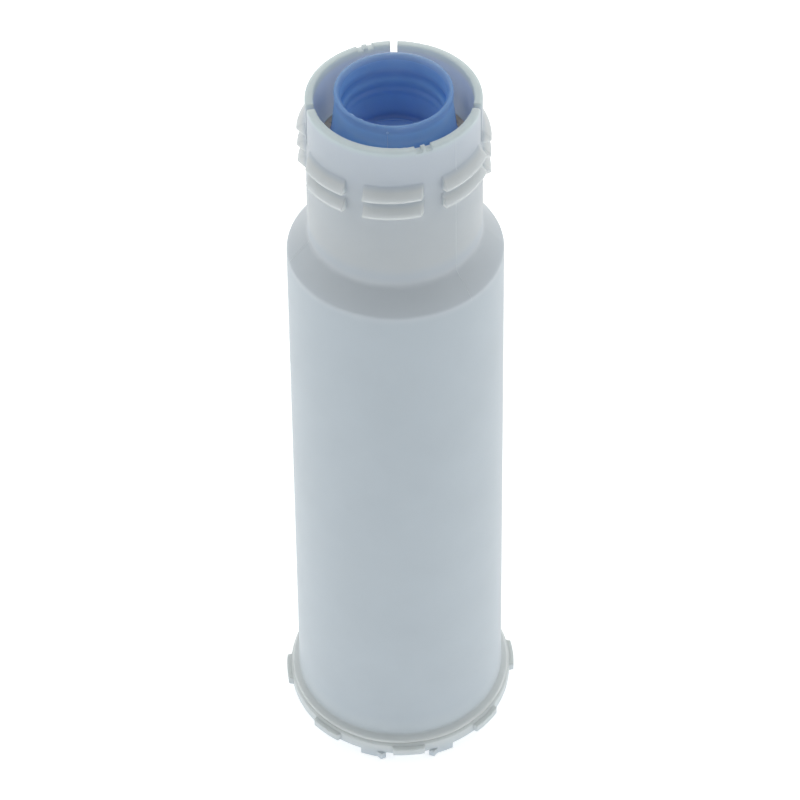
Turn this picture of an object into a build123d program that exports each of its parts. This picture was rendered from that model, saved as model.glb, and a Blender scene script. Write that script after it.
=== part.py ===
"""Screw-in water filter cartridge for a coffee machine's tank.

The cartridge stands on its wide end. Z is its long axis, Z = 0 is under the feet and -Y is the front.
Angles round the axis are counted from the front and grow towards +X.
"""

import os
from math import atan, cos, degrees, pi, radians, sin, tan

from build123d import *

# Housing, in millimetres
overall_height = 152.35
wall = 1.4
body_bottom_radius = 20.5
body_draft = 1.6
neck_length = 29.0
shoulder_rise = 4.05
shoulder_edge_round = 0.8
shoulder_neck_round = 1.5
rim_radius = 14.7
neck_draft = 0.45
rim_outer_round = 0.4
rim_inner_round = 0.25
flange_width = 1.35
flange_edge = 0.65
flange_edge_round = 0.45
flange_rise = 1.05
flange_corner_round = 0.3

# Ledge inside the neck that carries the inlet screen
ledge_width = 1.0
ledge_thickness = 1.2

# Slots and gate nicks in the rim
slot_angles = (-78.0, 78.0, 180.0)
slot_width = 1.2
slot_depth = 7.8
nick_angles = (20.0, 200.5)
nick_width = 1.05
nick_depth = 0.55
nick_spacing = 1.75

# Interrupted thread on the neck
thread_pitch = 3.5
thread_depth = 1.4
thread_columns = 7
thread_column_width = 38.5
thread_first_angle = -270.0
thread_last_angle = 630.0
thread_below_rim = 13.05
thread_crest = 0.4
thread_crest_round = 0.25
thread_flank_rise = 1.4
thread_edge_round = 0.15
thread_underside_rise = 0.3

# The neck is moulded by three slides, which part at seams and pull away midway between them
slide_count = 3
slide_seam_angle = 44.0

# Base cap
weld_height = 4.35
cap_turn = 4.3
cap_floor = 1.5
ring_step = 0.4
ring_chamfer = 0.5
ring_wall = 1.7
ring_bottom = 1.45
ring_edge_round = 0.2
lug_count = 8
lug_width = 6.05
lug_reach = 0.9
lug_top = 3.75
lug_bottom = 1.95
lug_side_draft = 12.0
lug_edge_round = 0.2
feet_turn = 3.7
foot_start = 11.8
foot_end = 24.4
foot_rib_angle = 13.45
foot_rib_reach = 0.6
foot_rib_width = 1.8
plug_height = 6.0
plug_wall = 1.5
plug_clearance = 0.1
plug_lead_in = 0.4

# Outlet socket
socket_above_rim = 1.35
socket_bore_radius = 8.0
socket_step = 0.36
socket_step_round = 1.0
socket_lip_wall = 1.16
socket_lip_round = 0.5
socket_depth = 12.2
socket_floor = 1.4
socket_floor_round = 0.5
socket_cup_wall = 1.2
socket_below_screen = 1.6
first_groove = 3.75
second_groove = 5.9
groove_reach = 0.15
groove_above = 0.5
groove_below = 0.8
groove_round = 0.6
flare_start = 3.1
flare_width = 0.75
skirt_width = 1.42
skirt_edge = 1.0
skirt_flare = 1.6
skirt_round = 0.4
collar_length = 8.0
collar_wall = 1.45
port_lip_width = 1.8
port_lip_height = 0.35

# Riser tube, screens, felts and granules
riser_radius = 5.7
riser_wall = 1.0
riser_clearance = 0.05
riser_end_gap = 0.1
riser_notch_count = 4
riser_notch_width = 3.0
riser_notch_height = 5.0
riser_seat_height = 1.8
riser_seat_wall = 1.3
screen_thickness = 1.2
screen_clearance = 0.1
screen_slot_count = 24
screen_slot_width = 0.8
screen_border = 1.0
felt_thickness = 1.5
packing_gap = 0.1

# Heights and radii that follow from the sizes above
rim_height = overall_height - socket_above_rim
neck_bottom = rim_height - neck_length
body_top = neck_bottom - shoulder_rise
body_bottom = weld_height + flange_rise
body_top_radius = body_bottom_radius - body_draft
neck_bottom_radius = rim_radius + neck_draft
neck_bore_radius = rim_radius - wall
flange_radius = body_bottom_radius + flange_width
socket_step_radius = socket_bore_radius + socket_step
socket_mouth_radius = socket_step_radius + socket_step
socket_radius = socket_mouth_radius + socket_lip_wall
skirt_radius = socket_radius + skirt_width
socket_floor_top = overall_height - socket_depth
socket_cup_radius = socket_bore_radius + socket_cup_wall
socket_cup_bottom = socket_floor_top - socket_floor
first_groove_height = overall_height - first_groove
second_groove_height = overall_height - second_groove
screen_top = socket_cup_bottom + socket_below_screen
ledge_top = screen_top - screen_thickness
ledge_bottom = ledge_top - ledge_thickness
ledge_radius = neck_bore_radius - ledge_width
riser_bore_radius = riser_radius - riser_wall
riser_hole_radius = riser_radius + riser_clearance
riser_top = socket_cup_bottom - riser_end_gap
collar_radius = riser_hole_radius + collar_wall
collar_bottom = screen_top - collar_length
port_lip_radius = riser_bore_radius + port_lip_width
socket_floor_corner = min(socket_floor_round, (socket_bore_radius - port_lip_radius) / 2)
ring_radius = flange_radius + ring_step
ring_inner_radius = ring_radius - ring_wall
lug_radius = ring_radius + lug_reach
cap_underside = weld_height - cap_floor
plug_top = weld_height + plug_height
outlet_screen_top = plug_top + screen_thickness
bed_bottom = outlet_screen_top + felt_thickness
bed_top = ledge_top - felt_thickness


def neck_radius(height):
    """Outside radius of the tapered neck."""
    return rim_radius + neck_draft * (rim_height - height) / neck_length


def body_bore_radius(height):
    """Inside radius of the tapered body."""
    return body_bottom_radius - wall - body_draft * (height - body_bottom) / (body_top - body_bottom)


def facing(angle, height=0.0):
    """Location on the axis whose -Y side looks towards an angle from the front."""
    return Location((0, 0, height), (0, 0, angle))


def around(radius, angle):
    """Point of the XY plane at a radius and an angle from the front."""
    return (radius * sin(radians(angle)), -radius * cos(radians(angle)))


# The shoulder's inside lies half a wall lower, which keeps its wall even
shoulder_inner_bottom = body_top - wall / 2
shoulder_inner_top = neck_bottom - wall / 2
neck_inner_radius = neck_bottom_radius - wall
ledge_root_radius = neck_radius(ledge_bottom) - wall
ledge_root = ledge_bottom - (ledge_root_radius - ledge_radius)

plug_radius = body_bore_radius(plug_top) - plug_clearance
plug_bore_radius = plug_radius - plug_wall
riser_seat_radius = riser_hole_radius + riser_seat_wall
outlet_screen_radius = body_bore_radius(outlet_screen_top) - screen_clearance
outlet_felt_radius = body_bore_radius(bed_bottom) - packing_gap

os.makedirs("parts", exist_ok=True)

# One arc of the thread at the front, with the lower edge of its crest at height 0
thread_height = rim_height - thread_below_rim
thread_root_radius = neck_radius(thread_height)
rib_inner_radius = thread_root_radius - wall / 2
rib_crest_radius = thread_root_radius + thread_depth
rib_flank = rib_crest_radius - rib_inner_radius
rib_underside = thread_underside_rise * rib_flank / thread_depth
column_step = 360 / thread_columns
with BuildPart() as thread_arc:
    with BuildSketch(Plane.XZ.rotated((0, 0, -90 - column_step / 2))):
        with BuildLine():
            FilletPolyline(
                (rib_inner_radius, -rib_underside),
                (rib_crest_radius, 0),
                (rib_crest_radius, thread_crest),
                (rib_inner_radius, thread_crest + thread_flank_rise * rib_flank),
                radius=[0, thread_edge_round, thread_crest_round, 0],
                close=True,
            )
        make_face()
    revolve(axis=Axis.Z, revolution_arc=column_step)

thread_slope = degrees(atan(thread_pitch / (2 * pi * rib_crest_radius)))
arc_tilt = Location((0, 0, 0), (0, -thread_slope, 0))


def slide_pull(angle):
    """Angle along which the slide that moulds this side of the neck pulls away."""
    slide_span = 360 / slide_count
    first_pull = slide_seam_angle - slide_span / 2
    return first_pull + slide_span * round((angle - first_pull) / slide_span)


def beyond(point, angle, distance):
    """Point of the XY plane at a distance from another, along an angle from the front."""
    step = around(distance, angle)
    return (point[0] + step[0], point[1] + step[1])


def thread_column(column_angle):
    """Ribs of one thread column: where the helix crosses it, with ends that let the slides pull away."""
    start_angle = column_angle - thread_column_width / 2
    end_angle = column_angle + thread_column_width / 2
    start_root = around(thread_root_radius, start_angle)
    end_root = around(thread_root_radius, end_angle)
    start_tip = beyond(start_root, max(start_angle, slide_pull(start_angle)), 3 * thread_depth)
    end_tip = beyond(end_root, min(end_angle, slide_pull(end_angle)), 3 * thread_depth)
    with BuildPart() as ribs:
        for turn in range(-1, 3):
            helix_angle = column_angle + 360 * turn
            if thread_first_angle <= helix_angle <= thread_last_angle:
                rib_height = thread_height + thread_pitch * helix_angle / 360
                with Locations(facing(column_angle, rib_height) * arc_tilt):
                    add(thread_arc.part)
        with BuildSketch(Plane.XY.offset(neck_bottom)):
            with BuildLine():
                Polyline((0, 0), start_root, start_tip, end_tip, end_root, close=True)
            make_face()
        extrude(amount=neck_length, mode=Mode.INTERSECT)
    return ribs.part


thread = [thread_column((column - thread_columns // 2) * column_step) for column in range(thread_columns)]

# Housing: tapered body, shoulder and neck, open at both ends
housing_outline = [
    (body_bore_radius(weld_height), weld_height, 0),
    (flange_radius, weld_height, 0),
    (flange_radius, weld_height + flange_edge, flange_edge_round),
    (body_bottom_radius, body_bottom, flange_corner_round),
    (body_top_radius, body_top, shoulder_edge_round),
    (neck_bottom_radius, neck_bottom, shoulder_neck_round),
    (rim_radius, rim_height, rim_outer_round),
    (neck_bore_radius, rim_height, rim_inner_round),
    (neck_bore_radius, ledge_top, 0),
    (ledge_radius, ledge_top, 0),
    (ledge_radius, ledge_bottom, 0),
    (ledge_root_radius, ledge_root, 0),
    (neck_inner_radius, shoulder_inner_top, 0),
    (body_bore_radius(shoulder_inner_bottom), shoulder_inner_bottom, 0),
]
with BuildPart() as housing:
    with BuildSketch(Plane.XZ):
        with BuildLine():
            FilletPolyline(
                [(radius, height) for radius, height, _ in housing_outline],
                radius=[corner for _, _, corner in housing_outline],
                close=True,
            )
        make_face()
    revolve(axis=Axis.Z)
    add(thread)
    # Three slots split the rim, and two broken-off gates leave a pair of nicks each
    for angle in slot_angles:
        with Locations(facing(angle, rim_height) * Location((0, -rim_radius, 0))):
            Box(slot_width, 4 * wall, 2 * slot_depth, mode=Mode.SUBTRACT)
    for angle in nick_angles:
        for side in (-0.5, 0.5):
            with Locations(facing(angle, rim_height) * Location((side * nick_spacing, -rim_radius, 0))):
                Box(nick_width, 4 * wall, 2 * nick_depth, mode=Mode.SUBTRACT)
housing.part.label = "housing"
export_step(housing.part, "parts/housing.step")

# Base cap: floor, plug and ring in one turn, then the lugs and the feet
lug_root_width = lug_width + 4 * lug_reach * tan(radians(lug_side_draft))
foot_rib_half = degrees(foot_rib_width / 2 / ring_radius)
cap_outline = [
    (0, cap_underside, 0),
    (ring_inner_radius, cap_underside, 0),
    (ring_inner_radius, ring_bottom, 0),
    (ring_radius, ring_bottom, ring_edge_round),
    (ring_radius, weld_height - ring_chamfer, 0),
    (flange_radius, weld_height, 0),
    (plug_radius, weld_height, 0),
    (plug_radius, plug_top - plug_lead_in, 0),
    (plug_radius - plug_lead_in, plug_top, 0),
    (plug_bore_radius, plug_top, 0),
    (plug_bore_radius, weld_height, 0),
    (riser_seat_radius, weld_height, 0),
    (riser_seat_radius, weld_height + riser_seat_height, 0),
    (riser_hole_radius, weld_height + riser_seat_height, 0),
    (riser_hole_radius, weld_height, 0),
    (0, weld_height, 0),
]
with BuildPart() as base_cap:
    with BuildSketch(Plane.XZ):
        with BuildLine():
            FilletPolyline(
                [(radius, height) for radius, height, _ in cap_outline],
                radius=[corner for _, _, corner in cap_outline],
                close=True,
            )
        make_face()
    revolve(axis=Axis.Z)
    with BuildSketch(Plane.XY.offset(lug_bottom)):
        with PolarLocations(ring_radius, lug_count, start_angle=cap_turn - 90):
            Trapezoid(lug_root_width, 2 * lug_reach, 90 - lug_side_draft, rotation=-90)
        Circle(lug_radius, mode=Mode.INTERSECT)
    extrude(amount=lug_top - lug_bottom)
    lug_edges = base_cap.edges().filter_by(
        lambda edge: edge.center().cross(Vector(0, 0, 1)).length > lug_radius - lug_edge_round
    )
    fillet(lug_edges, lug_edge_round)
    # Two pairs of feet under the ring, each foot with a pointed rib on its face
    with BuildSketch(Plane.XY):
        for middle in (feet_turn, feet_turn + 180):
            for start, rib in ((foot_start, foot_rib_angle), (-foot_end, -foot_rib_angle)):
                with BuildLine():
                    inner = CenterArc((0, 0), ring_inner_radius, middle + start - 90, foot_end - foot_start)
                    outer = CenterArc((0, 0), ring_radius, middle + start - 90, foot_end - foot_start)
                    Line(inner @ 0, outer @ 0)
                    Line(inner @ 1, outer @ 1)
                make_face()
                with BuildLine():
                    Polyline(
                        around(ring_inner_radius, middle + rib),
                        around(ring_radius, middle + rib + foot_rib_half),
                        around(ring_radius + foot_rib_reach, middle + rib),
                        around(ring_radius, middle + rib - foot_rib_half),
                        close=True,
                    )
                make_face()
    extrude(amount=ring_bottom + ring_edge_round)
base_cap.part.label = "base_cap"
export_step(base_cap.part, "parts/base_cap.step")

# Outlet socket: bore with two grooved steps, flared skirt and the collar that takes the riser tube
socket_outline = [
    (riser_bore_radius, socket_cup_bottom, 0),
    (riser_hole_radius, socket_cup_bottom, 0),
    (riser_hole_radius, collar_bottom, 0),
    (collar_radius, collar_bottom, 0),
    (collar_radius, socket_cup_bottom, 0),
    (socket_cup_radius, socket_cup_bottom, 0),
    (socket_cup_radius, screen_top, 0),
    (skirt_radius, screen_top, 0),
    (skirt_radius, screen_top + skirt_edge, skirt_round),
    (socket_radius + flare_width, screen_top + skirt_edge + skirt_flare, skirt_flare),
    (socket_radius, overall_height - flare_start, skirt_flare),
    (socket_radius, overall_height, socket_lip_round),
    (socket_mouth_radius, overall_height, socket_lip_round),
    (socket_mouth_radius, first_groove_height + groove_above, socket_step_round),
    (socket_mouth_radius + groove_reach, first_groove_height, groove_round),
    (socket_step_radius, first_groove_height - groove_below, socket_step_round),
    (socket_step_radius, second_groove_height + groove_above, socket_step_round),
    (socket_step_radius + groove_reach, second_groove_height, groove_round),
    (socket_bore_radius, second_groove_height - groove_below, socket_step_round),
    (socket_bore_radius, socket_floor_top, socket_floor_corner),
    (port_lip_radius, socket_floor_top, 0),
    (port_lip_radius, socket_floor_top + port_lip_height, 0),
    (riser_bore_radius, socket_floor_top + port_lip_height, 0),
]
with BuildPart() as outlet_socket:
    with BuildSketch(Plane.XZ):
        with BuildLine():
            FilletPolyline(
                [(radius, height) for radius, height, _ in socket_outline],
                radius=[corner for _, _, corner in socket_outline],
                close=True,
            )
        make_face()
    revolve(axis=Axis.Z)
outlet_socket.part.label = "outlet_socket"
export_step(outlet_socket.part, "parts/outlet_socket.step")

# Inlet screen: slotted ring on the neck's ledge, round the socket's cup
inlet_slot_start = socket_cup_radius + screen_clearance + screen_border
inlet_slot_length = ledge_radius - inlet_slot_start
with BuildPart() as inlet_screen:
    with BuildSketch(Plane.XY.offset(ledge_top)):
        Circle(neck_bore_radius - screen_clearance)
        Circle(socket_cup_radius + screen_clearance, mode=Mode.SUBTRACT)
        with PolarLocations(inlet_slot_start + inlet_slot_length / 2, screen_slot_count):
            Rectangle(inlet_slot_length, screen_slot_width, mode=Mode.SUBTRACT)
    extrude(amount=screen_thickness)
inlet_screen.part.label = "inlet_screen"
export_step(inlet_screen.part, "parts/inlet_screen.step")

# Inlet felt, inside the ledge
with BuildPart() as inlet_fleece:
    with BuildSketch(Plane.XY.offset(bed_top)):
        Circle(ledge_radius - packing_gap)
        Circle(socket_cup_radius + packing_gap, mode=Mode.SUBTRACT)
    extrude(amount=felt_thickness)
inlet_fleece.part.label = "inlet_fleece"
export_step(inlet_fleece.part, "parts/inlet_fleece.step")

# Riser tube, standing on the cap's floor with notches that let the water in
with BuildPart() as riser_tube:
    with BuildSketch(Plane.XY.offset(weld_height)):
        Circle(riser_radius)
        Circle(riser_bore_radius, mode=Mode.SUBTRACT)
    extrude(amount=riser_top - weld_height)
    with PolarLocations(riser_radius, riser_notch_count):
        with Locations((0, 0, weld_height)):
            Box(4 * riser_wall, riser_notch_width, 2 * riser_notch_height, mode=Mode.SUBTRACT)
riser_tube.part.label = "riser_tube"
export_step(riser_tube.part, "parts/riser_tube.step")

# Outlet screen: slotted plate on the cap's plug, round the riser tube
outlet_slot_start = riser_hole_radius + screen_border
outlet_slot_length = plug_bore_radius - screen_border - outlet_slot_start
with BuildPart() as outlet_screen:
    with BuildSketch(Plane.XY.offset(plug_top)):
        Circle(outlet_screen_radius)
        Circle(riser_hole_radius, mode=Mode.SUBTRACT)
        with PolarLocations(outlet_slot_start + outlet_slot_length / 2, screen_slot_count):
            Rectangle(outlet_slot_length, screen_slot_width, mode=Mode.SUBTRACT)
    extrude(amount=screen_thickness)
outlet_screen.part.label = "outlet_screen"
export_step(outlet_screen.part, "parts/outlet_screen.step")

# Outlet felt on that plate
with BuildPart() as outlet_fleece:
    with BuildSketch(Plane.XY.offset(outlet_screen_top)):
        Circle(outlet_felt_radius)
        Circle(riser_radius + packing_gap, mode=Mode.SUBTRACT)
    extrude(amount=felt_thickness)
outlet_fleece.part.label = "outlet_fleece"
export_step(outlet_fleece.part, "parts/outlet_fleece.step")

# Granules: they fill the body, shoulder and neck between the two felts
with BuildPart() as resin_bed:
    with BuildSketch(Plane.XZ):
        with BuildLine():
            Polyline(
                (riser_radius + packing_gap, bed_bottom),
                (outlet_felt_radius, bed_bottom),
                (body_bore_radius(shoulder_inner_bottom) - packing_gap, shoulder_inner_bottom - packing_gap),
                (neck_inner_radius - packing_gap, shoulder_inner_top - packing_gap),
                (ledge_root_radius - packing_gap, ledge_root - packing_gap),
                (ledge_radius - packing_gap, bed_top),
                (collar_radius + packing_gap, bed_top),
                (collar_radius + packing_gap, collar_bottom - packing_gap),
                (riser_radius + packing_gap, collar_bottom - packing_gap),
                close=True,
            )
        make_face()
    revolve(axis=Axis.Z)
resin_bed.part.label = "resin_bed"
export_step(resin_bed.part, "parts/resin_bed.step")
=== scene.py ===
# %% [markdown]
# # A water filter cartridge
#
# The object is a screw-in filter for the water tank of a coffee machine. A white moulded housing holds
# the granules, a blue socket in its neck takes the machine's suction spigot, and a lugged cap closes the
# wide end. The solids come from CAD at their real size, so this lesson adds the finish of each plastic,
# a finer blue socket, the marks that moulding leaves, and the light and camera of the photograph.

# %% Load the CAD model
import math

import bmesh
import bpy
from mathutils import Matrix, Vector


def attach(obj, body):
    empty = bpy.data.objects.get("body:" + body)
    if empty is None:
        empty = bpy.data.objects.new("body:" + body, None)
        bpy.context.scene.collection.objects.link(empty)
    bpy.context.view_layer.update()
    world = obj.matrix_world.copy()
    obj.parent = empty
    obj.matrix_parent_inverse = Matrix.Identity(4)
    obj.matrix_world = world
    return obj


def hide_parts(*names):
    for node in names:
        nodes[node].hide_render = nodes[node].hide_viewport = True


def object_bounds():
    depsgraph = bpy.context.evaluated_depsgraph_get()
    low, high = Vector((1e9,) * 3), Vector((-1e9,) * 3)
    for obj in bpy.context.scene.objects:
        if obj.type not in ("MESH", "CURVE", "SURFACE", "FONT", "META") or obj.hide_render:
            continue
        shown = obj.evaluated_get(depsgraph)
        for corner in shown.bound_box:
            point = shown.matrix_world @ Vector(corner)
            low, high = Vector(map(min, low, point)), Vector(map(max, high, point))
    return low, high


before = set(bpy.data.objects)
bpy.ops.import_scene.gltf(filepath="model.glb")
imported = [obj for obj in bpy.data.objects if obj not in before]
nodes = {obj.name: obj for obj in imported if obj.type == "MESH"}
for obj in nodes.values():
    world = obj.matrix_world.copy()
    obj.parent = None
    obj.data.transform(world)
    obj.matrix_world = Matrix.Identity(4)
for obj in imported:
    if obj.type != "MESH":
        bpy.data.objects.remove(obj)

MM = 0.001
cad_low, cad_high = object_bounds()
PART_HEIGHT = cad_high.z / MM
print("CAD nodes:", sorted(nodes))
print("CAD size in mm:", [round(side / MM, 2) for side in cad_high - cad_low])

# %% [markdown]
# ## Colours and nodes
#
# Colours are written as sRGB hex values, because that is how they are read off a picture. Blender's
# shaders work in linear light, so one function converts them. A second small function adds a shader node,
# fills in its settings and links its inputs, which keeps each material short enough to read. Lengths are
# millimetres throughout, and MM turns them into Blender's metres.

# %% Colour and node helpers


def linear(hex_colour):
    """sRGB hex text such as "d8e0e2" as a linear RGBA colour."""
    channels = [int(hex_colour[i:i + 2], 16) / 255 for i in (0, 2, 4)]
    return [c / 12.92 if c <= 0.04045 else ((c + 0.055) / 1.055) ** 2.4 for c in channels] + [1.0]


def add_node(tree, kind, inputs, **settings):
    """Adds a node. Each input is a value, or an output socket to link from."""
    node = tree.nodes.new(kind)
    for name, value in settings.items():
        setattr(node, name, value)
    for name, value in inputs.items():
        if isinstance(value, bpy.types.NodeSocket):
            tree.links.new(value, node.inputs[name])
        else:
            node.inputs[name].default_value = value
    return node


def per_mm(size):
    """Texture scale that gives features of about this size, in object coordinates that are metres."""
    return 1 / (size * MM)


def new_material(name):
    """An empty node material with its output node and its object coordinates."""
    material = bpy.data.materials.new(name)
    material.use_nodes = True
    tree = material.node_tree
    tree.nodes.clear()
    output = add_node(tree, "ShaderNodeOutputMaterial", {})
    place = add_node(tree, "ShaderNodeTexCoord", {}).outputs["Object"]
    return material, tree, output, place


print("mid grey in linear light:", round(linear("808080")[0], 3))

# %% [markdown]
# ## Tones and painted light that change over a moulding
#
# Pigment mixes unevenly as the melt flows, so a moulding hasn't the same tone everywhere. The colour ramps
# here also paint light and shade: painted light makes the thin rib flanks paler and warmer, the inside of
# the neck has a painted blue reflection of the socket, and the housing, the cap and the socket are painted
# paler or darker where they are shaded or lit. A painted picture could hold these shades. A colour ramp over
# the height, or over the distance from the axis, needs no unwrapping and follows the form from every side,
# and a slow noise adds the uneven mixing.

# %% Tones by height, by radius and by flow
TONE_DRIFT = 0.05


def ramp_over(tree, distance, stops, mix):
    """A colour ramp over a distance. Stops are pairs of that distance and a colour."""
    share = add_node(tree, "ShaderNodeMapRange", {"Value": distance, "From Max": PART_HEIGHT * MM})
    ramp = add_node(tree, "ShaderNodeValToRGB", {"Fac": share.outputs["Result"]})
    ramp.color_ramp.interpolation = mix
    points = ramp.color_ramp.elements
    while len(points) < len(stops):
        points.new(0.5)
    for point, (level, colour) in zip(points, stops):
        point.position = level / PART_HEIGHT
        point.color = colour
    return ramp.outputs["Color"]


def by_height(tree, place, stops, mix):
    """A colour ramp over the height above the base."""
    height = add_node(tree, "ShaderNodeSeparateXYZ", {"Vector": place})
    return ramp_over(tree, height.outputs["Z"], stops, mix)


def by_radius(tree, place, stops, mix):
    """A colour ramp over the distance from the axis."""
    flat = add_node(tree, "ShaderNodeVectorMath", {0: place, 1: (1.0, 1.0, 0.0)}, operation="MULTIPLY")
    radius = add_node(tree, "ShaderNodeVectorMath", {0: flat.outputs["Vector"]}, operation="LENGTH")
    return ramp_over(tree, radius.outputs["Value"], stops, mix)


def tones(pairs):
    """Stops of a colour ramp from pairs of a distance and a hex colour."""
    return [(level, linear(tone)) for level, tone in pairs]


def shares(pairs):
    """Stops of a grey ramp from pairs of a distance and a share from 0 to 1."""
    return [(level, [share] * 3 + [1]) for level, share in pairs]


def drifting(tree, place, tint, size):
    """A tint that grows lighter and darker by a shade over patches of this size."""
    drift = add_node(
        tree,
        "ShaderNodeTexNoise",
        {"Vector": place, "Scale": per_mm(size), "Detail": 3.0, "Roughness": 0.55},
    )
    shade = add_node(
        tree,
        "ShaderNodeMapRange",
        {"Value": drift.outputs["Fac"], "To Min": 1 - TONE_DRIFT, "To Max": 1 + TONE_DRIFT},
    )
    colour = add_node(
        tree, "ShaderNodeVectorMath", {0: tint, "Scale": shade.outputs["Result"]}, operation="SCALE"
    )
    return colour.outputs["Vector"]


print("tones drift by", TONE_DRIFT, "either way")

# %% [markdown]
# ## Moulded polypropylene
#
# The housing, cap, tube and screens are injection-moulded polypropylene, and so is the blue socket. The
# steel of the mould is lightly eroded, which leaves a satin skin: a soft, wide highlight and no mirror
# image. The plastic itself is milky. Light enters it, scatters and comes out some millimetres away, so thin
# walls glow and shade is soft. A plain diffuse surface looks like chalk beside it, and glass-like
# transmission lets one see through, so subsurface scattering is the right tool. All the mouldings share one
# function, because only the colour, the glow and the roughness differ. The colour is the pigment, and for
# the housing, the cap and the socket it also holds painted light and shade.

# %% Moulded polypropylene
POLYPROPYLENE_IOR = 1.49
FLOW_PATCH = 14
SOFT_EDGE = 0.4
# The eroded skin is about 0.06 mm coarse. It is drawn at 0.35 mm, which is as fine as the render shows.
SKIN_GRAIN = 0.35
SKIN_DEPTH = 0.006
ROUGHNESS_SPREAD = 0.05
# A ramp holds values up to 1, so it stores a glow as a share of the deepest
DEEPEST_GLOW = 10


def moulded_polypropylene(name, pigment_and_painted_light, glow, glow_share, roughness):
    """Satin moulded plastic. The colour is the pigment, with painted light and shade where a moulding has
    them, as a hex colour, a list of them by height, or a function that adds nodes of its own. Glow is the
    depth to which light enters, one value or a list by height."""
    material, tree, output, place = new_material(name)
    if callable(pigment_and_painted_light):
        tint = pigment_and_painted_light(tree, place)
    elif isinstance(pigment_and_painted_light, list):
        tint = by_height(tree, place, tones(pigment_and_painted_light), "EASE")
    else:
        tint = linear(pigment_and_painted_light)[:3]
    if isinstance(glow, list):
        stops = shares([(level, depth / DEEPEST_GLOW) for level, depth in glow])
        share = by_height(tree, place, stops, "LINEAR")
        deepest = {0: share, 1: DEEPEST_GLOW * MM}
        glow_depth = add_node(tree, "ShaderNodeMath", deepest, operation="MULTIPLY").outputs["Value"]
    else:
        glow_depth = glow * MM
    skin = add_node(
        tree,
        "ShaderNodeTexNoise",
        {"Vector": place, "Scale": per_mm(SKIN_GRAIN), "Detail": 2.0, "Roughness": 0.6},
    )
    sheen_spread = add_node(
        tree,
        "ShaderNodeMapRange",
        {
            "Value": skin.outputs["Fac"],
            "To Min": roughness - ROUGHNESS_SPREAD,
            "To Max": roughness + ROUGHNESS_SPREAD,
        },
    )
    soft_edge = add_node(tree, "ShaderNodeBevel", {"Radius": SOFT_EDGE * MM}, samples=6)
    grain = add_node(
        tree,
        "ShaderNodeBump",
        {
            "Height": skin.outputs["Fac"],
            "Distance": SKIN_DEPTH * MM,
            "Strength": 1.0,
            "Normal": soft_edge.outputs["Normal"],
        },
    )
    plastic = add_node(
        tree,
        "ShaderNodeBsdfPrincipled",
        {
            "Base Color": drifting(tree, place, tint, FLOW_PATCH),
            "Roughness": sheen_spread.outputs["Result"],
            "IOR": POLYPROPYLENE_IOR,
            "Subsurface Weight": glow_share,
            "Subsurface Radius": (1.0, 1.0, 1.0),
            "Subsurface Scale": glow_depth,
            "Normal": grain.outputs["Normal"],
        },
    )
    tree.links.new(plastic.outputs["BSDF"], output.inputs["Surface"])
    return material


# Natural plastic has no pigment, only the warm tint of the melt
natural_polypropylene = moulded_polypropylene(
    "natural_polypropylene", "fff2dc", glow=0.6, glow_share=0.2, roughness=0.5
)
print("made:", natural_polypropylene.name)

# %% White polypropylene of the housing and its cap
FLANGE_FOOT = 4.3
FLANGE_TOP = 6.4
BODY_FOOT = 11.0
BODY_TOP = 116.5
SHOULDER_LOW = 118.5
SHOULDER_HIGH = 122.0
NECK_FOOT = 124.5
RIM_FOOT = 149.5
RIM_TOP = 150.7
# Besides the pigment, these tones paint light and shade: paler at the flange foot and on the shoulder, where
# shade falls, and a greener band on the rim top, as light from above tints it
housing_tones_and_painted_light = [
    (FLANGE_FOOT, "e3e6e6"),
    (FLANGE_TOP, "c7cfd5"),
    (BODY_FOOT, "bfc8d0"),
    (BODY_TOP, "bcc5cd"),
    (SHOULDER_LOW, "c6ccd3"),
    (SHOULDER_HIGH, "c6ccd3"),
    (NECK_FOOT, "bdc6d0"),
    (RIM_FOOT, "bdc6d0"),
    (RIM_TOP, "c0ced1"),
]

# Across the neck, from its bore beside the blue socket to the edges of the ribs. These tones are painted
# light and shade: a painted blue reflection of the socket on the bore, paler and warmer rib flanks where
# light falls, and darker rib edges that tone down their highlight
NECK_BORE = 13.3
NECK_SKIN = 14.5
RIB_ROOT = 15.0
RIB_FLANK = 15.4
RIB_CREST = 16.0
RIB_EDGE = 16.3
neck_painted_light = [
    (NECK_BORE, "bac8e4"),
    (NECK_SKIN, "bdc6d0"),
    (RIB_ROOT, "bfc6cd"),
    (RIB_FLANK, "c7cacb"),
    (RIB_CREST, "c3c7c9"),
    (RIB_EDGE, "bac1c6"),
]
# These painted tones take over just above the shoulder and end just below the rim
painted_neck_share = [(124.0, 0), (126.0, 1), (149.2, 1), (149.8, 0)]

# The thick body lets light in only a little, and the thin neck glows
WALL_GLOW, WALL_GLOW_END = 0.4, 112.0
NECK_GLOW, NECK_GLOW_START = 8.0, 128.0


def housing_pigment_and_painted_light(tree, place):
    """The housing's tones by height, and in the neck by radius, with painted light and shade in both."""
    wall = by_height(tree, place, tones(housing_tones_and_painted_light), "EASE")
    neck = by_radius(tree, place, tones(neck_painted_light), "EASE")
    share = by_height(tree, place, shares(painted_neck_share), "LINEAR")
    tint = add_node(tree, "ShaderNodeMix", {"Factor": share, "A": wall, "B": neck}, data_type="RGBA")
    return tint.outputs["Result"]


white_polypropylene = moulded_polypropylene(
    "white_polypropylene",
    housing_pigment_and_painted_light,
    glow=[(WALL_GLOW_END, WALL_GLOW), (NECK_GLOW_START, NECK_GLOW)],
    glow_share=0.6,
    roughness=0.42,
)
# The cap's ramp is painted light: paler towards its top, which lifts the shade under the housing's flange,
# and darker and bluer towards the floor
cap_polypropylene = moulded_polypropylene(
    "cap_polypropylene", [(0, "ccd4db"), (FLANGE_FOOT, "d6dbdc")], glow=0.8, glow_share=0.6, roughness=0.42
)
print("whites:", white_polypropylene.name, cap_polypropylene.name)
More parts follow.
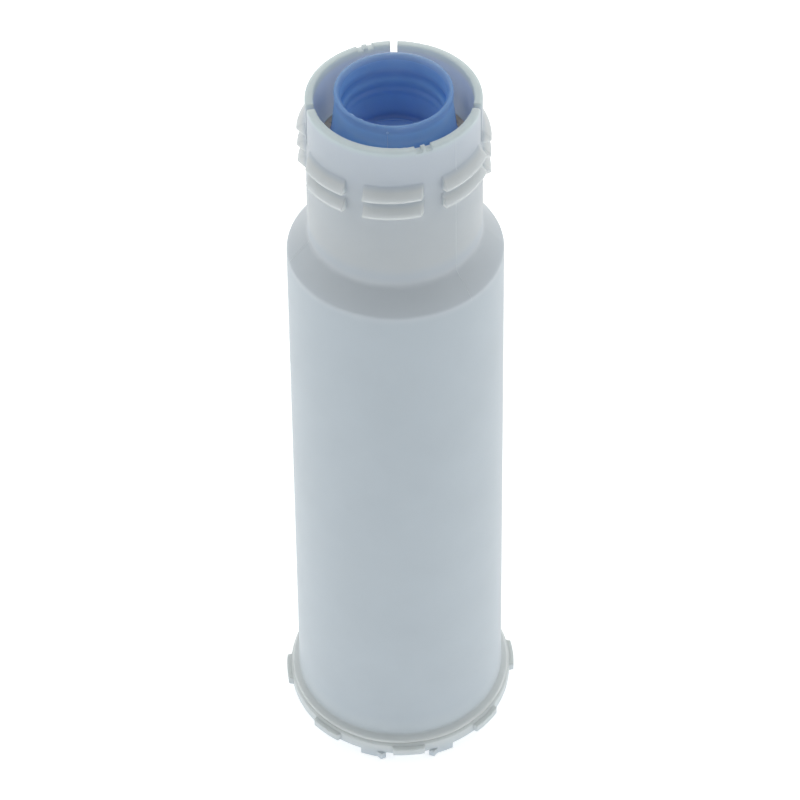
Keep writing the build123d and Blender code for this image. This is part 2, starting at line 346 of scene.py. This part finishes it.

# %% Blue polypropylene of the socket
# The outer wall is painted paler lower down, where it stands in the shaded recess, than at the exposed lip.
# The bore has painted light and shade of its own: it is paler near its floor, where the walls light each
# other, and darker in the two grooves, where shade falls
outer_blue_and_painted_light = [(146.0, "86b3f3"), (150.4, "78a6e6"), (151.5, "5a80ba")]
bore_painted_light_and_shade = [
    (140.3, "88b0f4"),
    (141.5, "a2c6fa"),
    (144.4, "98c0f5"),
    (145.2, "7ca8e4"),
    (146.1, "80abe6"),
    (147.4, "8ab5ee"),
    (148.2, "5e8fd4"),
    (148.8, "5e8fd4"),
    (149.8, "709fde"),
    (151.3, "6893d2"),
]
blue_skin = {"glow": 7.0, "glow_share": 0.65, "roughness": 0.38}
blue_polypropylene = moulded_polypropylene("blue_polypropylene", outer_blue_and_painted_light, **blue_skin)
painted_bore_polypropylene = moulded_polypropylene("blue_polypropylene_painted_bore", bore_painted_light_and_shade, **blue_skin)
print("blues:", blue_polypropylene.name, painted_bore_polypropylene.name)

# %% [markdown]
# ## Felt and granules
#
# Two felt rings keep the granules in. Needled felt is a mat of loose fibres, so its colour and its height
# change from fibre to fibre, and it has a soft sheen and no highlight. The granules are small moist beads
# of ion-exchange resin with darker grains of carbon between them. A Voronoi pattern gives each bead its own
# cell, from which it takes its colour and its round top.

# %% Needled felt
FIBRE_CLUMP = 0.5
NAP_HEIGHT = 0.15


def needled_felt(name):
    """Off-white fibre mat with a soft sheen."""
    material, tree, output, place = new_material(name)
    fibres = add_node(
        tree,
        "ShaderNodeTexNoise",
        {"Vector": place, "Scale": per_mm(FIBRE_CLUMP), "Detail": 4.0, "Roughness": 0.7, "Distortion": 1.5},
    )
    colour = add_node(
        tree,
        "ShaderNodeMix",
        {"Factor": fibres.outputs["Fac"], "A": linear("c9c2b2"), "B": linear("e9e5da")},
        data_type="RGBA",
    )
    nap = add_node(tree, "ShaderNodeBump", {"Height": fibres.outputs["Fac"], "Distance": NAP_HEIGHT * MM})
    cloth = add_node(
        tree,
        "ShaderNodeBsdfPrincipled",
        {
            "Base Color": colour.outputs["Result"],
            "Roughness": 0.95,
            "Sheen Weight": 0.3,
            "Normal": nap.outputs["Normal"],
        },
    )
    tree.links.new(cloth.outputs["BSDF"], output.inputs["Surface"])
    return material


felt = needled_felt("needled_felt")
print("made:", felt.name)

# %% Resin granules
BEAD_SIZE = 0.8
BEAD_HEIGHT = 0.3
CARBON_SHARE = 0.3
PALE_SHARE = 0.3


def resin_granules(name):
    """Moist amber beads with some dark carbon grains."""
    material, tree, output, place = new_material(name)
    beads = add_node(tree, "ShaderNodeTexVoronoi", {"Vector": place, "Scale": per_mm(BEAD_SIZE)})
    bead_tone = add_node(tree, "ShaderNodeSeparateColor", {"Color": beads.outputs["Color"]})
    colour = add_node(tree, "ShaderNodeValToRGB", {"Fac": bead_tone.outputs["Red"]})
    colour.color_ramp.interpolation = "CONSTANT"
    carbon, amber = colour.color_ramp.elements
    carbon.color = linear("2a2622")
    amber.position = CARBON_SHARE
    amber.color = linear("b08d57")
    pale_bead = colour.color_ramp.elements.new(1 - PALE_SHARE)
    pale_bead.color = linear("c9ab78")
    dome = add_node(
        tree,
        "ShaderNodeBump",
        {"Height": beads.outputs["Distance"], "Distance": BEAD_HEIGHT * MM},
        invert=True,
    )
    bead = add_node(
        tree,
        "ShaderNodeBsdfPrincipled",
        {
            "Base Color": colour.outputs["Color"],
            "Roughness": 0.3,
            "IOR": 1.5,
            "Normal": dome.outputs["Normal"],
        },
    )
    tree.links.new(bead.outputs["BSDF"], output.inputs["Surface"])
    return material


granules = resin_granules("resin_granules")
print("made:", granules.name)

# %% [markdown]
# ## The CAD pieces get their finish
#
# Eight of the nine CAD pieces already have the right form, so they stay as they are and only change their
# material. The ninth, the socket, gets a finer mesh in the next step.

# %% Dress the CAD nodes
finishes = {
    "housing": white_polypropylene,
    "base_cap": cap_polypropylene,
    "inlet_screen": natural_polypropylene,
    "riser_tube": white_polypropylene,
    "outlet_screen": white_polypropylene,
    "inlet_fleece": felt,
    "outlet_fleece": felt,
    "resin_bed": granules,
}
for node_name, material in finishes.items():
    nodes[node_name].data.materials.clear()
    nodes[node_name].data.materials.append(material)
print("dressed:", len(finishes), "nodes")

# %% [markdown]
# ## The blue socket
#
# The socket is a turned form. Its lip slopes inwards to a thin edge, and above each of the two steps in its
# bore the wall leans out into a shallow groove, which shows as a soft dark band that painted shade in the
# bore's colour deepens. These forms are a few tenths of a millimetre deep, so they are made here as a finer
# mesh that stands for the plain CAD socket.
# An outline of radius and height is rounded at its corners with a vertex bevel and then spun about the axis,
# as on a lathe. A screw modifier would spin it too, but it can't round the corners one by one.

# %% Turning
TURNING_STEPS = 160
ROUNDING_SEGMENTS = 5
SHARP_ANGLE = math.radians(40)


def add_piece(name, mesh):
    """An object with this mesh that rides with the cartridge."""
    piece = bpy.data.objects.new(name, mesh)
    bpy.context.scene.collection.objects.link(piece)
    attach(piece, "root")
    return piece


def turned_piece(name, outline):
    """A closed outline of radius, height and corner rounding, spun about the Z axis."""
    shape = bmesh.new()
    points = [shape.verts.new((radius * MM, 0, height * MM)) for radius, height, _ in outline]
    for index, point in enumerate(points):
        shape.edges.new((points[index - 1], point))
    for point, (_, _, rounding) in zip(points, outline):
        if rounding:
            bmesh.ops.bevel(
                shape,
                geom=[point],
                offset=rounding * MM,
                segments=ROUNDING_SEGMENTS,
                profile=0.5,
                affect="VERTICES",
            )
    bmesh.ops.spin(
        shape,
        geom=shape.verts[:] + shape.edges[:],
        cent=(0, 0, 0),
        axis=(0, 0, 1),
        angle=2 * math.pi,
        steps=TURNING_STEPS,
        use_merge=True,
    )
    bmesh.ops.recalc_face_normals(shape, faces=shape.faces)
    mesh = bpy.data.meshes.new(name)
    shape.to_mesh(mesh)
    shape.free()
    mesh.shade_smooth()
    mesh.set_sharp_from_angle(angle=SHARP_ANGLE)
    return add_piece(name, mesh)


print("turned in", TURNING_STEPS, "steps")

# %% Blue socket
# Sleeve round the riser tube, and the seat in the inlet screen
PORT_RADIUS = 4.7
SLEEVE_BORE, SLEEVE_RADIUS, SLEEVE_END = 5.75, 7.2, 132.35
SEAT_RADIUS, SEAT_HEIGHT = 9.2, 138.75
# Collar that lies on the screen, and the cone that stands on it
COLLAR_RADIUS, COLLAR_LOW, COLLAR_HIGH = 11.3, 140.35, 141.35
CONE_RADIUS, CONE_FOOT, CONE_TOP = 10.63, 142.95, 149.25
# Lip, which falls from its flat top to a thin inner edge
SOCKET_TOP = PART_HEIGHT
LIP_RADIUS = 9.88
LIP_FLAT = 0.5
LIP_INNER_RADIUS = 8.78
LIP_FALL = 0.89
LIP_EDGE = SOCKET_TOP - LIP_FALL
# Bore, from the mouth down: two grooves and the steps below them, then the floor with its raised ring
MOUTH_RADIUS, MOUTH_HEIGHT = 8.72, 149.8
UPPER_GROOVE_RADIUS, UPPER_GROOVE = 9.08, 148.5
UPPER_STEP_RADIUS, UPPER_STEP = 8.38, 147.5
LOWER_GROOVE_RADIUS, LOWER_GROOVE = 8.7, 146.05
BORE_RADIUS, LOWER_STEP = 8.0, 145.3
SOCKET_FLOOR = 140.15
FLOOR_RING_RADIUS, FLOOR_RING_TOP = 6.5, 140.5
socket_outline = [
    (PORT_RADIUS, SEAT_HEIGHT, 0),
    (SLEEVE_BORE, SEAT_HEIGHT, 0),
    (SLEEVE_BORE, SLEEVE_END, 0),
    (SLEEVE_RADIUS, SLEEVE_END, 0.2),
    (SLEEVE_RADIUS, SEAT_HEIGHT, 0),
    (SEAT_RADIUS, SEAT_HEIGHT, 0.2),
    (SEAT_RADIUS, COLLAR_LOW, 0),
    (COLLAR_RADIUS, COLLAR_LOW, 0.1),
    (COLLAR_RADIUS, COLLAR_HIGH, 0.3),
    (CONE_RADIUS, CONE_FOOT, 0.8),
    (LIP_RADIUS, CONE_TOP, 0.5),
    (LIP_RADIUS, SOCKET_TOP, 0.3),
    (LIP_RADIUS - LIP_FLAT, SOCKET_TOP, 0.2),
    (LIP_INNER_RADIUS, LIP_EDGE, 0.12),
    (MOUTH_RADIUS, MOUTH_HEIGHT, 0.8),
    (UPPER_GROOVE_RADIUS, UPPER_GROOVE, 0.3),
    (UPPER_STEP_RADIUS, UPPER_STEP, 0.5),
    (LOWER_GROOVE_RADIUS, LOWER_GROOVE, 0.3),
    (BORE_RADIUS, LOWER_STEP, 0.4),
    (BORE_RADIUS, SOCKET_FLOOR, 0.6),
    (FLOOR_RING_RADIUS, SOCKET_FLOOR, 0.1),
    (FLOOR_RING_RADIUS, FLOOR_RING_TOP, 0.15),
    (PORT_RADIUS, FLOOR_RING_TOP, 0.1),
]
blue_socket = turned_piece("blue_socket", socket_outline)
blue_socket.data.materials.append(blue_polypropylene)
blue_socket.data.materials.append(painted_bore_polypropylene)

# Faces of the bore lie within its widest groove, between the floor and the lip's edge, and take the copy of
# the blue with the bore's painted light and shade
BORE_LIMIT = 9.2
BORE_FOOT = 140.1
for face in blue_socket.data.polygons:
    in_bore = BORE_FOOT * MM < face.center.z < LIP_EDGE * MM and face.center.xy.length < BORE_LIMIT * MM
    face.material_index = 1 if in_bore else 0
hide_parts("outlet_socket")
print("socket corners:", len(socket_outline), "faces:", len(blue_socket.data.polygons))

# %% [markdown]
# ## Marks that moulding leaves
#
# The neck is moulded by three slides. Where two of them meet, a little plastic is squeezed into the joint
# and leaves a fine raised line, from the rim, or the slot in it, to the edge of the shoulder. The blue
# socket has such a line too, below a small dot where the melt came in, and a torn scrap of flash on its lip.
# A thin ring on its floor is no mark but a painted highlight on the edge of the floor's raised part. The
# marks are paler than the walls, partly because they are thin and partly as painted highlights. A bump in
# the material could draw these marks, but it would lie on the wall without catching light on its edges, so
# each is a small mesh. A ray finds the surface at an angle and a height, and a narrow ridge follows those
# points. Angles are counted from the front and grow to the right.

# %% Plastic of the marks
FLASH_PATCH = 1.5


def thin_flash_with_painted_highlight(name, tone):
    """A sliver of plastic, smooth because no steel shaped it. It is paler than the wall, partly because it
    is thin and partly as a painted highlight that makes a fine mark read as a light line.
    """
    material, tree, output, place = new_material(name)
    sliver = add_node(
        tree,
        "ShaderNodeBsdfPrincipled",
        {
            "Base Color": drifting(tree, place, linear(tone)[:3], FLASH_PATCH),
            "Roughness": 0.3,
            "IOR": POLYPROPYLENE_IOR,
        },
    )
    tree.links.new(sliver.outputs["BSDF"], output.inputs["Surface"])
    return material


# Both tones are paler than the walls, partly because the slivers are thin and partly as painted highlight
white_flash_and_painted_highlight = thin_flash_with_painted_highlight("white_flash_and_painted_highlight", "e0e6ea")
blue_flash_and_painted_highlight = thin_flash_with_painted_highlight("blue_flash_and_painted_highlight", "a3c4ee")
print("flash:", white_flash_and_painted_highlight.name, blue_flash_and_painted_highlight.name)

# %% Raised lines
OUTSIDE_RADIUS = 40
RIDGE_STEP = 0.2
RIDGE_ROOT = 0.05
TAPER_STEPS = 5
# The slides meet cleanly on the ribs, so the line is lost there: it sinks just below the surface
RIB_LOWEST = 126.0
RIB_START = 15.1
RIB_SINK = 0.03


def around(radius, angle, height):
    """Point at a radius, an angle in degrees from the front and a height."""
    turn = math.radians(angle)
    return Vector((radius * math.sin(turn), -radius * math.cos(turn), height)) * MM


def on_surface(piece, angle, height):
    """Where a ray from outside to the axis meets a piece, and the surface's normal there."""
    start = around(OUTSIDE_RADIUS, angle, height)
    inwards = around(0, angle, height) - start
    hit, place, normal, _ = piece.ray_cast(start, inwards.normalized())
    assert hit, (piece.name, start)
    return place, normal


def ringed_piece(name, corners, sides):
    """A piece of rings of corners, each with this many sides, joined in a row and closed at both ends."""
    faces = [tuple(range(sides)), tuple(reversed(range(len(corners) - sides, len(corners))))]
    for ring in range(len(corners) // sides - 1):
        for side in range(sides):
            first = ring * sides + side
            second = ring * sides + (side + 1) % sides
            faces.append((first, first + sides, second + sides, second))
    mesh = bpy.data.meshes.new(name)
    mesh.from_pydata(corners, [], faces)
    return add_piece(name, mesh)


def raised_line(name, piece, angle, top, bottom, width, rise):
    """A ridge down the outside of a piece, with a triangular section."""
    across = around(1, angle + 90, 0).normalized()
    steps = int((top - bottom) / RIDGE_STEP)
    corners = []
    for step in range(steps + 1):
        height = top + (bottom - top) * step / steps
        place, normal = on_surface(piece, angle, height)
        taper = min(1, step / TAPER_STEPS, (steps - step) / TAPER_STEPS)
        on_rib = height > RIB_LOWEST and place.xy.length > RIB_START * MM
        crest = -RIB_SINK if on_rib else rise * taper
        foot = place - normal * RIDGE_ROOT * MM
        corners.append(foot - across * width / 2 * MM)
        corners.append(place + normal * crest * MM)
        corners.append(foot + across * width / 2 * MM)
    return ringed_piece(name, corners, 3)


RIM_SEAM_TOP = 150.2
SLOT_SEAM_TOP = 142.9
SHOULDER_EDGE = 117.2
SEAM_WIDTH = 0.18
LINE_RISE = 0.04
seams = {
    "seam_right": (43.3, RIM_SEAM_TOP),
    "seam_back": (163.5, RIM_SEAM_TOP),
    "seam_left": (-76.5, SLOT_SEAM_TOP),
}
bpy.context.view_layer.update()
for name, (angle, top) in seams.items():
    seam = raised_line(name, nodes["housing"], angle, top, SHOULDER_EDGE, SEAM_WIDTH, LINE_RISE)
    seam.data.materials.append(white_flash_and_painted_highlight)
print("seams:", len(seams))

# %% Weld line and gate dot on the blue socket
GATE_ANGLE = -5.8
WELD_TOP, WELD_FOOT = 151.0, 143.5
WELD_WIDTH = 0.16
weld_line = raised_line("weld_line", blue_socket, GATE_ANGLE, WELD_TOP, WELD_FOOT, WELD_WIDTH, LINE_RISE)

# The dot where the melt came in is a low dome: each of its rings has a radius and a height above the wall
GATE_HEIGHT = 151.15
DOT_SIDES = 16
DOT_RINGS = ((0.26, -0.05), (0.22, 0.06), (0.12, 0.1))
place, normal = on_surface(blue_socket, GATE_ANGLE, GATE_HEIGHT)
side = normal.cross(Vector((0, 0, 1))).normalized()
rise = side.cross(normal)
corners = []
for radius, lift in DOT_RINGS:
    for step in range(DOT_SIDES):
        turn = 2 * math.pi * step / DOT_SIDES
        corner = side * math.cos(turn) * radius + rise * math.sin(turn) * radius + normal * lift
        corners.append(place + corner * MM)
gate_dot = ringed_piece("gate_dot", corners, DOT_SIDES)
print("gate:", weld_line.name, gate_dot.name)

# %% Flash on the lip and a painted highlight ring on the floor
# The flash is a sliver along the lip's inner edge that reaches inwards by an uneven amount
FLASH_START, FLASH_END = -56.0, -1.0
FLASH_REACH = (
    (0.0, 0.1, 0.22, 0.16, 0.05, 0.12, 0.3, 0.34, 0.14, 0.06)
    + (0.18, 0.12, 0.04, 0.24, 0.3, 0.1, 0.05, 0.16, 0.2, 0.0)
)
# Its top, tip and foot lie this far outwards and upwards from the edge
FLASH_TOP, FLASH_TIP, FLASH_FOOT = (0.16, 0.16), (0.02, 0.03), (0.1, -0.25)
corners = []
for step, reach in enumerate(FLASH_REACH):
    angle = FLASH_START + (FLASH_END - FLASH_START) * step / (len(FLASH_REACH) - 1)
    for (out, up), inwards in ((FLASH_TOP, 0), (FLASH_TIP, reach), (FLASH_FOOT, 0)):
        corners.append(around(LIP_INNER_RADIUS + out - inwards, angle, LIP_EDGE + up))
lip_flash = ringed_piece("lip_flash", corners, 3)

# A thin pale ring on the edge of the floor's raised part is a painted highlight on that edge
HIGHLIGHT_RING_RADIUS, HIGHLIGHT_RING_WIDTH = 6.48, 0.16
HIGHLIGHT_RING_FOOT, HIGHLIGHT_RING_TOP = 140.4, 140.62
painted_highlight_ring = turned_piece(
    "painted_highlight_ring",
    [
        (HIGHLIGHT_RING_RADIUS - HIGHLIGHT_RING_WIDTH / 2, HIGHLIGHT_RING_FOOT, 0),
        (HIGHLIGHT_RING_RADIUS + HIGHLIGHT_RING_WIDTH / 2, HIGHLIGHT_RING_FOOT, 0),
        (HIGHLIGHT_RING_RADIUS, HIGHLIGHT_RING_TOP, 0),
    ],
)
for mark in (weld_line, gate_dot, lip_flash, painted_highlight_ring):
    mark.data.materials.append(blue_flash_and_painted_highlight)
print("marks on the socket:", weld_line.name, gate_dot.name, lip_flash.name, painted_highlight_ring.name)

# %% [markdown]
# ## Floor and light
#
# The photograph was taken in a light tent. White walls and a white floor light the object from every side,
# and the one dark place is the opening through which the camera looks in. A surface is therefore the darker
# the more it faces the camera: the shoulder most, the front of the body and the rim less, the sides hardly
# at all. Lamps could be arranged to give the same, but a world colour is simpler and has no hard edges: a
# wall colour that warms a little towards the top, and a soft-edged dark opening. The floor glows faintly,
# as overexposed white paper does, and keeps the object's shadow.

# %% Floor
FLOOR_HALF_WIDTH = 3.0
FLOOR_GLOW = 0.5
floor_mesh = bpy.data.meshes.new("floor")
floor_mesh.from_pydata(
    [(x * FLOOR_HALF_WIDTH, y * FLOOR_HALF_WIDTH, 0.0) for x, y in ((-1, -1), (1, -1), (1, 1), (-1, 1))],
    [],
    [(0, 1, 2, 3)],
)
floor = bpy.data.objects.new("floor", floor_mesh)
bpy.context.scene.collection.objects.link(floor)
floor_material, floor_tree, floor_output, _ = new_material("white_paper")
paper = add_node(
    floor_tree,
    "ShaderNodeBsdfPrincipled",
    {
        "Base Color": linear("f4f5f6"),
        "Roughness": 1.0,
        "Specular IOR Level": 0.0,
        "Emission Color": linear("ffffff"),
        "Emission Strength": FLOOR_GLOW,
    },
)
floor_tree.links.new(paper.outputs["BSDF"], floor_output.inputs["Surface"])
floor_mesh.materials.append(floor_material)
print("floor is", 2 * FLOOR_HALF_WIDTH, "m wide")

# %% Light tent
# The opening is a cone about this direction. Its edge and its core are cosines of the angle from it.
OPENING_DIRECTION = (0.0, -0.7, 0.714)
OPENING_EDGE, OPENING_CORE = 0.6, 0.86
TENT_STRENGTH = 1.15

scene = bpy.context.scene
scene.view_settings.view_transform = "Standard"
tent = bpy.data.worlds.new("light_tent")
tent.use_nodes = True
scene.world = tent
tent_tree = tent.node_tree
tent_tree.nodes.clear()
tent_output = add_node(tent_tree, "ShaderNodeOutputWorld", {})
direction = add_node(tent_tree, "ShaderNodeTexCoord", {}).outputs["Generated"]
axes = add_node(tent_tree, "ShaderNodeSeparateXYZ", {"Vector": direction})
cloth = add_node(tent_tree, "ShaderNodeValToRGB", {"Fac": axes.outputs["Z"]})
cloth_low, cloth_high = cloth.color_ramp.elements
cloth_low.color = linear("d6e2ec")
cloth_high.color = linear("fffaee")
towards_opening = add_node(
    tent_tree, "ShaderNodeVectorMath", {0: direction, 1: OPENING_DIRECTION}, operation="DOT_PRODUCT"
)
opening = add_node(tent_tree, "ShaderNodeValToRGB", {"Fac": towards_opening.outputs["Value"]})
opening.color_ramp.interpolation = "EASE"
opening_edge, opening_core = opening.color_ramp.elements
opening_edge.position = OPENING_EDGE
opening_edge.color = linear("ffffff")
opening_core.position = OPENING_CORE
opening_core.color = linear("868a8e")
tent_colour = add_node(
    tent_tree,
    "ShaderNodeMix",
    {"Factor": 1.0, "A": cloth.outputs["Color"], "B": opening.outputs["Color"]},
    data_type="RGBA",
    blend_type="MULTIPLY",
)
tent_light = add_node(
    tent_tree, "ShaderNodeBackground", {"Color": tent_colour.outputs["Result"], "Strength": TENT_STRENGTH}
)
# The camera itself sees plain white behind the object
tent_white = add_node(tent_tree, "ShaderNodeBackground", {"Color": linear("ffffff"), "Strength": 1.0})
tent_ray = add_node(tent_tree, "ShaderNodeLightPath", {})
tent_mix = add_node(
    tent_tree,
    "ShaderNodeMixShader",
    {
        0: tent_ray.outputs["Is Camera Ray"],
        1: tent_light.outputs["Background"],
        2: tent_white.outputs["Background"],
    },
)
tent_tree.links.new(tent_mix.outputs["Shader"], tent_output.inputs["Surface"])
print("light tent of strength", TENT_STRENGTH)

# %% [markdown]
# ## Camera
#
# The photograph looks down at the cartridge from about 45 degrees with a long lens, and the object leans a
# little to the left in it. A camera could be moved by eye until the outlines meet. These values come from
# fitting the rim, the shoulder and the base to the photograph, which also gives the lens.

# %% Camera
TARGET_HEIGHT = 79.33 * MM
CAMERA_DISTANCE = 487.45 * MM
CAMERA_AZIMUTH = math.radians(0.5)
CAMERA_ELEVATION = math.radians(45.575)
CAMERA_ROLL = math.radians(-0.685)
SENSOR_WIDTH = 36.0
LENS = 119.29
OPTICAL_CENTRE_X = 397.27
IMAGE_WIDTH = 800
NEAREST, FARTHEST = 0.01, 20.0

camera_data = bpy.data.cameras.new("photo_camera")
camera_data.sensor_width = SENSOR_WIDTH
camera_data.lens = LENS
camera_data.shift_x = (IMAGE_WIDTH / 2 - OPTICAL_CENTRE_X) / IMAGE_WIDTH
camera_data.clip_start = NEAREST
camera_data.clip_end = FARTHEST
camera = bpy.data.objects.new("photo_camera", camera_data)
scene.collection.objects.link(camera)
back = Vector(
    (
        math.sin(CAMERA_AZIMUTH) * math.cos(CAMERA_ELEVATION),
        -math.cos(CAMERA_AZIMUTH) * math.cos(CAMERA_ELEVATION),
        math.sin(CAMERA_ELEVATION),
    )
)
camera.matrix_world = (
    Matrix.Translation(Vector((0, 0, TARGET_HEIGHT)) + back * CAMERA_DISTANCE)
    @ (-back).to_track_quat("-Z", "Y").to_matrix().to_4x4()
    @ Matrix.Rotation(CAMERA_ROLL, 4, "Z")
)
scene.camera = camera
print("camera at", [round(x, 4) for x in camera.location])
